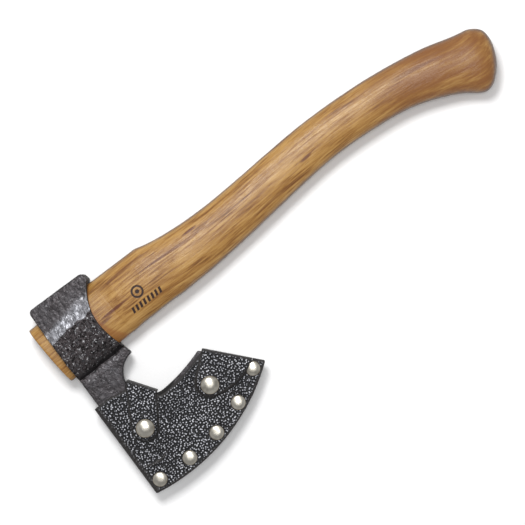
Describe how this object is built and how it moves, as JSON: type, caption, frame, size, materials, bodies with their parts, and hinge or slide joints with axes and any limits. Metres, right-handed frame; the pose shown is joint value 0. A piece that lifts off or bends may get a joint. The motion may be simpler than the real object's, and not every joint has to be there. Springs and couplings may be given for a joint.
{
  "type": "hatchet",
  "caption": "Bearded hatchet with a forged steel head, a curved wooden handle and a riveted leather blade sheath closed by two press-stud flaps.",
  "frame": {"origin": "under the middle of the eye, on the flat of the lower cheek, with the hatchet lying level on its side", "axes": "+X along the eye and handle towards the knob, +Y towards the poll (the cutting edge faces -Y), +Z square to the cheeks, up through the cheek that carries the sheath's flaps"},
  "size_m": [0.4244, 0.1758, 0.031],
  "materials": {
    "forged_steel": "forged and blackened, rough and pitted in the hollows, worn to grey on the high places",
    "handle_wood": "oiled and satin, golden brown with dark grain streaks",
    "wedge_wood": "dark oiled hardwood",
    "sheath_leather": "black pebbled leather with smooth burnished edges",
    "nickel": "polished nickel plate, slightly warm",
    "brass": "plain brass"
  },
  "bodies": {
    "axe": {"axe_head": "forged_steel", "handle": "handle_wood", "eye_wedge": "wedge_wood"},
    "sheath": {"sheath_leather": "sheath_leather", "sheath_welt": "sheath_leather", "rivet_cap_1": "nickel", "rivet_cap_2": "nickel", "rivet_cap_3": "nickel", "rivet_cap_4": "nickel", "rivet_cap_5": "nickel", "rivet_post_1": "nickel", "rivet_post_2": "nickel", "rivet_post_3": "nickel", "rivet_post_4": "nickel", "rivet_post_5": "nickel", "upper_snap_stud": "brass", "upper_snap_post": "brass", "lower_snap_stud": "brass", "lower_snap_post": "brass"},
    "upper_strap": {"upper_flap": "sheath_leather", "upper_snap_cap": "nickel", "upper_snap_socket": "brass"},
    "lower_strap": {"lower_flap": "sheath_leather", "lower_snap_cap": "nickel", "lower_snap_socket": "brass"}
  },
  "joints": [
    {"name": "sheath_slide", "type": "slide", "parent": "axe", "child": "sheath", "axis": [-0.0436, -0.999, 0], "range_m": [0, 0.09], "deforming": ["upper_flap", "lower_flap"]},
    {"name": "upper_flap_hinge", "type": "hinge", "parent": "sheath", "child": "upper_strap", "pos_m": [0.01353, -0.06302, 0.0155], "axis": [-0.5519, 0.8339, 0], "range_deg": [0, 170], "deforming": ["upper_flap"]},
    {"name": "lower_flap_hinge", "type": "hinge", "parent": "sheath", "child": "lower_strap", "pos_m": [0.08057, -0.08516, 0.0155], "axis": [-0.6494, 0.7604, 0], "range_deg": [0, 170], "deforming": ["lower_flap"]}
  ]
}
